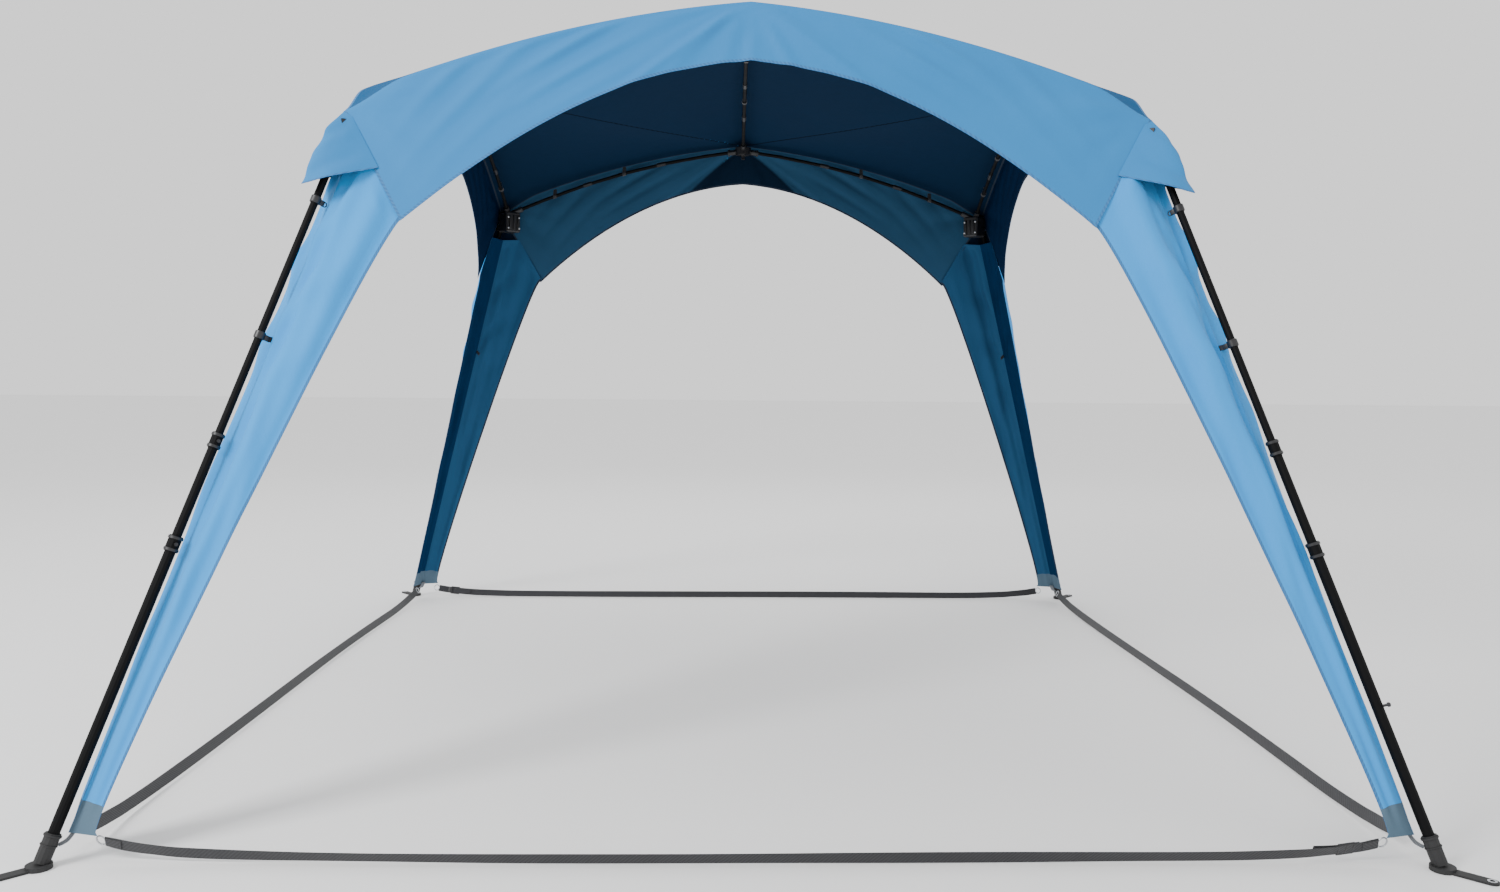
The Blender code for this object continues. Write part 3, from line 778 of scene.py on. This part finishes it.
def turned(profile, place, sides=28):
    """Closed ring of revolution about the place's Z from (radius, height) points."""
    bm = bmesh.new()
    rings = []
    for k in range(sides):
        angle = 2 * math.pi * k / sides
        rings.append([bm.verts.new(place @ Vector((radius * math.cos(angle), radius * math.sin(angle), height)))
                      for radius, height in profile])
    count = len(profile)
    for k in range(sides):
        here, after = rings[k], rings[(k + 1) % sides]
        for n in range(count):
            bm.faces.new((here[n], after[n], after[(n + 1) % count], here[(n + 1) % count]))
    bmesh.ops.remove_doubles(bm, verts=bm.verts, dist=1e-6)
    bmesh.ops.recalc_face_normals(bm, faces=bm.faces)
    return bm


def sleeve(inner, outer, low, high, lip, place):
    """Tube section with softened ends."""
    return turned([(inner, low), (outer - lip, low), (outer, low + lip), (outer, high - lip), (outer - lip, high),
                   (inner, high)], place)


def soft_block(size, place, edge=0.0015):
    bm = bmesh.new()
    bmesh.ops.create_cube(bm, size=1.0)
    bmesh.ops.scale(bm, vec=size, verts=bm.verts)
    bmesh.ops.bevel(bm, geom=bm.edges[:], offset=edge, segments=3, profile=0.5, affect="EDGES")
    bmesh.ops.transform(bm, matrix=place, verts=bm.verts)
    return bm


def ring(radius, thick, place, sides=26, tube=10, stretch=1.0):
    """Round or D-shaped wire ring in the place's XY plane."""
    bm = bmesh.new()
    rings = []
    for k in range(sides):
        angle = 2 * math.pi * k / sides
        out = Vector((math.cos(angle), math.sin(angle) * stretch, 0))
        rings.append([bm.verts.new(place @ (out * radius + out.normalized() * thick * math.cos(t) + Vector((0, 0, thick * math.sin(t)))))
                      for t in (2 * math.pi * n / tube for n in range(tube))])
    for k in range(sides):
        here, after = rings[k], rings[(k + 1) % sides]
        for n in range(tube):
            bm.faces.new((here[n], after[n], after[(n + 1) % tube], here[(n + 1) % tube]))
    bmesh.ops.recalc_face_normals(bm, faces=bm.faces)
    return bm


def ribbon(points, acrosses, width, thick):
    """Webbing: a flat band with rounded edges along points, with its width along each across."""
    bm = bmesh.new()
    uv = bm.loops.layers.uv.new("cloth")
    half, deep = width / 2, thick / 2
    section = [(-half, 0), (-half + deep * 0.6, deep), (-half * 0.4, deep), (half * 0.4, deep), (half - deep * 0.6, deep),
               (half, 0), (half - deep * 0.6, -deep), (half * 0.4, -deep), (-half * 0.4, -deep), (-half + deep * 0.6, -deep)]
    rows, lengths, run = [], [], 0.0
    for k, (point, across) in enumerate(zip(points, acrosses)):
        ahead = (points[min(k + 1, len(points) - 1)] - points[max(k - 1, 0)]).normalized()
        across = (across - ahead * across.dot(ahead)).normalized()
        up = ahead.cross(across)
        if k:
            run += (point - points[k - 1]).length
        lengths.append(run)
        rows.append([bm.verts.new(point + across * a + up * b) for a, b in section])
    count = len(section)
    for k in range(len(rows) - 1):
        for n in range(count):
            m = (n + 1) % count
            face = bm.faces.new((rows[k][n], rows[k][m], rows[k + 1][m], rows[k + 1][n]))
            for loop, (row, col) in zip(face.loops, ((k, n), (k, m), (k + 1, m), (k + 1, n))):
                loop[uv].uv = (section[col][0] + 0.001, lengths[row] + 0.001)
    bm.faces.new(rows[0][::-1])
    bm.faces.new(rows[-1])
    bmesh.ops.recalc_face_normals(bm, faces=bm.faces)
    return bm


def smooth_route(points, parts):
    out = []
    padded = [points[0], *points, points[-1]]
    for p0, p1, p2, p3 in zip(padded, padded[1:], padded[2:], padded[3:]):
        for i in range(parts):
            t = i / parts
            out.append(0.5 * ((2 * p1) + (p2 - p0) * t + (2 * p0 - 5 * p1 + 4 * p2 - p3) * t * t
                              + (3 * p1 - p0 - 3 * p2 + p3) * t ** 3))
    return [*out, points[-1]]


STRAP_ROUTE = (
    (-1.655, 1.752, 0.052), (-1.60, 1.757, 0.042), (-1.53, 1.762, 0.034), (-1.44, 1.765, 0.027),
    (-1.25, 1.768, 0.0215), (-0.95, 1.776, 0.0200), (-0.60, 1.781, 0.0195), (-0.20, 1.780, 0.0195),
    (0.20, 1.774, 0.0195), (0.60, 1.768, 0.0195), (0.95, 1.764, 0.0200), (1.25, 1.763, 0.0215),
    (1.44, 1.761, 0.027), (1.53, 1.759, 0.034), (1.60, 1.756, 0.042), (1.655, 1.752, 0.052),
)


def ladder_lock(place):
    """Buckle frame with three bars, in the place's XY plane, its length along X."""
    parts = [soft_block((0.046, 0.005, 0.006), place @ Matrix.Translation((0, y, 0))) for y in (-0.018, 0.018)]
    parts += [soft_block((0.006, 0.040, 0.006), place @ Matrix.Translation((x, 0, 0))) for x in (-0.020, 0.0, 0.020)]
    parts.append(soft_block((0.016, 0.034, 0.004), place @ Matrix.Translation((0.029, 0, 0.002))))
    return [(bm, 0) for bm in parts]


def build_straps():
    lean = math.radians(65)
    for side in SIDES:
        turn = quarter(side).to_3x3()
        route = [turn @ Vector((x, -reach, height)) for x, reach, height in STRAP_ROUTE]
        line = smooth_route(route, 10)
        acrosses = []
        for k, point in enumerate(line):
            ahead = (line[min(k + 1, len(line) - 1)] - line[max(k - 1, 0)]).normalized()
            level = Vector((0, 0, 1)).cross(ahead).normalized()
            twist = lean + 0.10 * math.sin(k * 0.09 + SIDES.index(side)) + 0.05 * math.sin(k * 0.23)
            acrosses.append(level * math.cos(twist) - Vector((0, 0, 1)) * math.sin(twist))
        parts = [(ribbon(line, acrosses, 0.034, 0.0018), 0)]
        for start, way in ((0, 1), (len(line) - 1, -1)):
            fold = [line[start + way * n] + acrosses[start].cross(line[1] - line[0]).normalized() * 0.0022 for n in range(9)]
            parts.append((ribbon(fold, [acrosses[start + way * n] for n in range(9)], 0.028, 0.0018), 0))
        strap = merge("webbing_" + side, parts, [WEBBING], ROOT)
        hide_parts("ground_strap_" + side)
        ends = []
        for start, way in ((0, 1), (len(line) - 1, -1)):
            ahead = (line[start] - line[start + way]).normalized()
            lie = frame_at(line[start] + ahead * 0.012, acrosses[start].cross(ahead), ahead)
            ends.append((ring(0.013, 0.0022, lie, stretch=1.15), 0))
        merge("strap_rings_" + side, ends, [STEEL], ROOT)
        at = {"front": len(line) - 16, "back": len(line) - 16}.get(side)
        if at:
            ahead = (line[at + 1] - line[at]).normalized()
            normal = ahead.cross(acrosses[at])
            merge("strap_buckle_" + side, ladder_lock(frame_at(line[at] + normal * 0.002, normal, ahead)), [PLASTIC], ROOT)
            tail = [line[at - n] + normal * (0.0045 + 0.0006 * n) for n in range(0, 12)]
            merge("strap_tail_" + side, [(ribbon(tail, [acrosses[at - n] for n in range(0, 12)], 0.028, 0.0018), 0)],
                  [WEBBING], ROOT)


def build_leg_details(corner, sx, sy):
    leg, length = leg_frame(corner, sx, sy)
    at = lambda x, y, down: leg @ Matrix.Translation((x, y, -down))
    # Collar rings and moulded bushes at the two telescopic joints
    for tube, top, radius in (("middle", 0.963, 0.0128), ("lower", 1.262, 0.0146)):
        lip = radius + 0.003
        parts = [(sleeve(lip + 0.0004, lip + 0.0022, -0.004, 0.004, 0.001, at(0, 0, top + d)), 0) for d in (0.006, 0.039)]
        merge("%s_collar_bands_%s" % (tube, corner), parts, [PLASTIC], "leg_%s_%s" % (tube, corner))
    # Clip and webbing that hold the panel's seam to the upper tube
    parts = []
    for down in (0.235, CLIP_DOWN):
        parts.append((sleeve(0.0114, 0.0150, -0.011, 0.011, 0.002, at(0, 0, down)), 0))
        parts.append((soft_block((0.016, 0.010, 0.016), at(-0.019, 0, down)), 0))
        parts.append((ring(0.007, 0.0016, at(-0.028, 0, down) @ Matrix.Rotation(math.pi / 2, 4, "X")), 0))
    merge("panel_clips_" + corner, parts, [PLASTIC], "leg_upper_" + corner)
    link = [at(-0.026 - 0.042 * n / 8, 0, CLIP_DOWN - 0.003 * math.sin(math.pi * n / 8)).translation for n in range(9)]
    down_way = [leg.col[2].xyz.copy()] * 9
    merge("panel_tie_" + corner, [(ribbon(link, down_way, 0.016, 0.0016), 0)], [WEBBING], "leg_upper_" + corner)
    # Foot: peg ring, cap rim and the webbing up to the panel's patch
    ground = frame_at((sx * FOOT_HALF, sy * FOOT_HALF, 0), (0, 0, 1), (sx, sy, 0))
    parts = [(sleeve(0.0199, 0.0222, -0.003, 0.003, 0.001, at(0, 0, length - 0.084)), 0),
             (sleeve(0.0199, 0.0216, -0.002, 0.002, 0.0008, at(0, 0, length - 0.060)), 0)]
    merge("foot_rims_" + corner, parts, [RUBBER], "leg_lower_" + corner)
    eyelet = turned([(0.0062, -0.0006), (0.0115, -0.0006), (0.0115, 0.0004), (0.0100, 0.0012), (0.0074, 0.0012),
                     (0.0062, 0.0004)], ground @ Matrix.Translation((0.112, 0, 0.0068)))
    merge("foot_eyelet_" + corner, [(eyelet, 0)], [STEEL], "leg_lower_" + corner)
    low = Vector((sx * 1.735, sy * 1.735, 0.086))
    cap = (at(-0.0215, 0, length - 0.062)).translation
    mid = low.lerp(cap, 0.5) - Vector((0, 0, 0.010))
    line = smooth_route([low, mid, cap], 8)
    across = Vector((-sy, sx, 0)).normalized()
    merge("foot_webbing_" + corner, [(ribbon(line, [across] * len(line), 0.022, 0.0018), 0)], [WEBBING_GREY],
          "leg_lower_" + corner)


def build_lock_pin():
    """Small quick-release pin on the front right lower tube."""
    leg, length = leg_frame("front_right", 1, -1)
    down = 0.80 * length
    place = leg @ Matrix.Translation((0.0, 0.0, -down)) @ Matrix.Rotation(math.pi / 2, 4, "Y")
    parts = [(turned([(0, 0.0150), (0.0035, 0.0150), (0.0035, 0.026), (0.0062, 0.027), (0.0062, 0.032), (0.004, 0.034),
                      (0, 0.034)], place), 0)]
    merge("lock_pin_front_right", parts, [PLASTIC], "leg_lower_front_right")


def eave_centre(x):
    away = abs(x)
    return Vector((x, -(MID_REACH + (CORNER_HALF - MID_REACH) * away / CORNER_HALF), eave_height(x)))


def ridge_centre(distance):
    return Vector((0, -distance, ridge_height(distance)))


def build_pole_details():
    """Ferrules where each pole's sections meet, and the canopy's ties round the poles."""
    for side in SIDES:
        turn = quarter(side)
        parts, ties = [], []
        for line, stations in ((eave_centre, (-0.76, -0.40, 0.40, 0.76)), (ridge_centre, (0.40, 0.76))):
            for x in stations:
                here, ahead = turn @ line(x), turn @ line(x + 0.02)
                parts.append((sleeve(0.0084, 0.0098, -0.022, 0.022, 0.001, frame_at(here, ahead - here)), 0))
        for line, stations in ((eave_centre, (-0.92, -0.58, 0.58, 0.92)), (ridge_centre, (0.58,))):
            for x in stations:
                here, ahead = turn @ line(x), turn @ line(x + 0.02)
                along = (ahead - here).normalized()
                loop = []
                for n in range(15):
                    angle = math.radians(-35 + 250 * n / 14)
                    out = along.cross(Vector((0, 0, 1))).normalized() * math.cos(angle) - Vector((0, 0, 1)) * math.sin(angle)
                    loop.append(here + out * 0.0112)
                loop = [here + Vector((0, 0, FABRIC_RISE - 0.003)), *loop, here + Vector((0, 0, FABRIC_RISE - 0.003))]
                ties.append((ribbon(loop, [along] * len(loop), 0.016, 0.0012), 0))
        merge("pole_ferrules_" + side, parts, [STEEL_DARK], ROOT)
        merge("canopy_ties_" + side, ties, [WEBBING], ROOT)


def build_hub_details():
    for side in SIDES:
        turn = quarter(side)
        middle = turn @ eave_centre(0)
        parts = [(turned([(0.0, -0.0205), (0.014, -0.0205), (0.016, -0.0185), (0.016, -0.0173), (0.0, -0.0173)],
                         Matrix.Translation(middle)), 0),
                 (turned([(0.0, 0.0173), (0.030, 0.0173), (0.030, 0.0190), (0.024, 0.0215), (0.0, 0.0225)],
                         Matrix.Translation(middle)), 0)]
        for line, sign in ((eave_centre, 1), (eave_centre, -1)):
            way = (turn @ line(sign * 0.085) - middle).normalized()
            parts.append((sleeve(0.0134, 0.0154, 0.064, 0.073, 0.001, frame_at(middle, way)), 0))
        merge("mid_hub_trim_" + side, parts, [PLASTIC], ROOT)
    for corner, (sx, sy) in CORNERS.items():
        hub = frame_at((sx * CORNER_HALF, sy * CORNER_HALF, eave_height(CORNER_HALF)), (0, 0, 1), (sx, sy, 0))
        parts, rivets = [], []
        for y in (-0.022, 0.0, 0.022):
            parts.append((soft_block((0.004, 0.007, 0.070), hub @ Matrix.Translation((-0.0472, y, -0.040)), 0.001), 0))
        for y in (-0.031, 0.031):
            for z in (-0.014, -0.066):
                dome = turned([(0, 0.0), (0.0052, 0.0), (0.0048, 0.0016), (0.003, 0.0026), (0, 0.003)],
                              hub @ Matrix.Translation((-0.0452, y, z)) @ Matrix.Rotation(-math.pi / 2, 4, "Y"))
                rivets.append((dome, 0))
        merge("corner_hub_ribs_" + corner, parts, [PLASTIC], ROOT)
        merge("corner_hub_rivets_" + corner, rivets, [STEEL], ROOT)


build_straps()
for corner, (sx, sy) in CORNERS.items():
    build_leg_details(corner, sx, sy)
build_lock_pin()
build_pole_details()
build_hub_details()


# ---------------------------------------------------------------- floor, light and camera

def build_floor():
    mesh = bpy.data.meshes.new("studio_floor")
    bm = bmesh.new()
    bmesh.ops.create_grid(bm, x_segments=1, y_segments=1, size=40)
    bm.to_mesh(mesh)
    bm.free()
    floor = bpy.data.objects.new("studio_floor", mesh)
    floor.location.z = -0.0005
    bpy.context.scene.collection.objects.link(floor)
    made, tree, shader = new_material("studio_floor", 0.9)
    shader.inputs["Base Color"].default_value = (0.9, 0.9, 0.9, 1)
    mesh.materials.append(made)


def area_light(name, where, target, size, power):
    data = bpy.data.lights.new(name, "AREA")
    data.shape = "RECTANGLE"
    data.size, data.size_y = size
    data.energy = power
    obj = bpy.data.objects.new(name, data)
    obj.location = where
    obj.rotation_euler = (Vector(target) - Vector(where)).to_track_quat("-Z", "Y").to_euler()
    bpy.context.scene.collection.objects.link(obj)
    return obj


def build_studio():
    world = bpy.data.worlds.new("studio")
    world.use_nodes = True
    world.node_tree.nodes["Background"].inputs["Color"].default_value = (1.0, 1.0, 1.0, 1)
    world.node_tree.nodes["Background"].inputs["Strength"].default_value = 1.22
    bpy.context.scene.world = world
    area_light("key", (-6.0, -5.8, 5.8), (0, -0.8, 1.5), (2.6, 2.6), 640)
    area_light("fill", (5.5, -6.5, 3.0), (0, 0, 1.4), (5, 4), 30)
    area_light("back", (0, 6.5, 6.0), (0, 0, 1.6), (8, 3), 120)


def build_camera():
    yaw, pitch, roll = math.radians(0.951), math.radians(-3.850), math.radians(0.470)
    ahead = Vector((math.sin(yaw) * math.cos(pitch), math.cos(yaw) * math.cos(pitch), math.sin(pitch)))
    right = Vector((math.cos(yaw), -math.sin(yaw), 0))
    up = right.cross(ahead)
    side = right * math.cos(roll) + up * math.sin(roll)
    top = up * math.cos(roll) - right * math.sin(roll)
    data = bpy.data.cameras.new("camera")
    data.sensor_width = 36.0
    data.lens = 28.48
    data.clip_start = 0.05
    data.clip_end = 200
    obj = bpy.data.objects.new("camera", data)
    turn = Matrix((side, top, -ahead)).transposed().to_4x4()
    obj.matrix_world = Matrix.Translation((-0.052, -4.763, 1.288)) @ turn
    bpy.context.scene.collection.objects.link(obj)
    bpy.context.scene.camera = obj


build_floor()
build_studio()
build_camera()
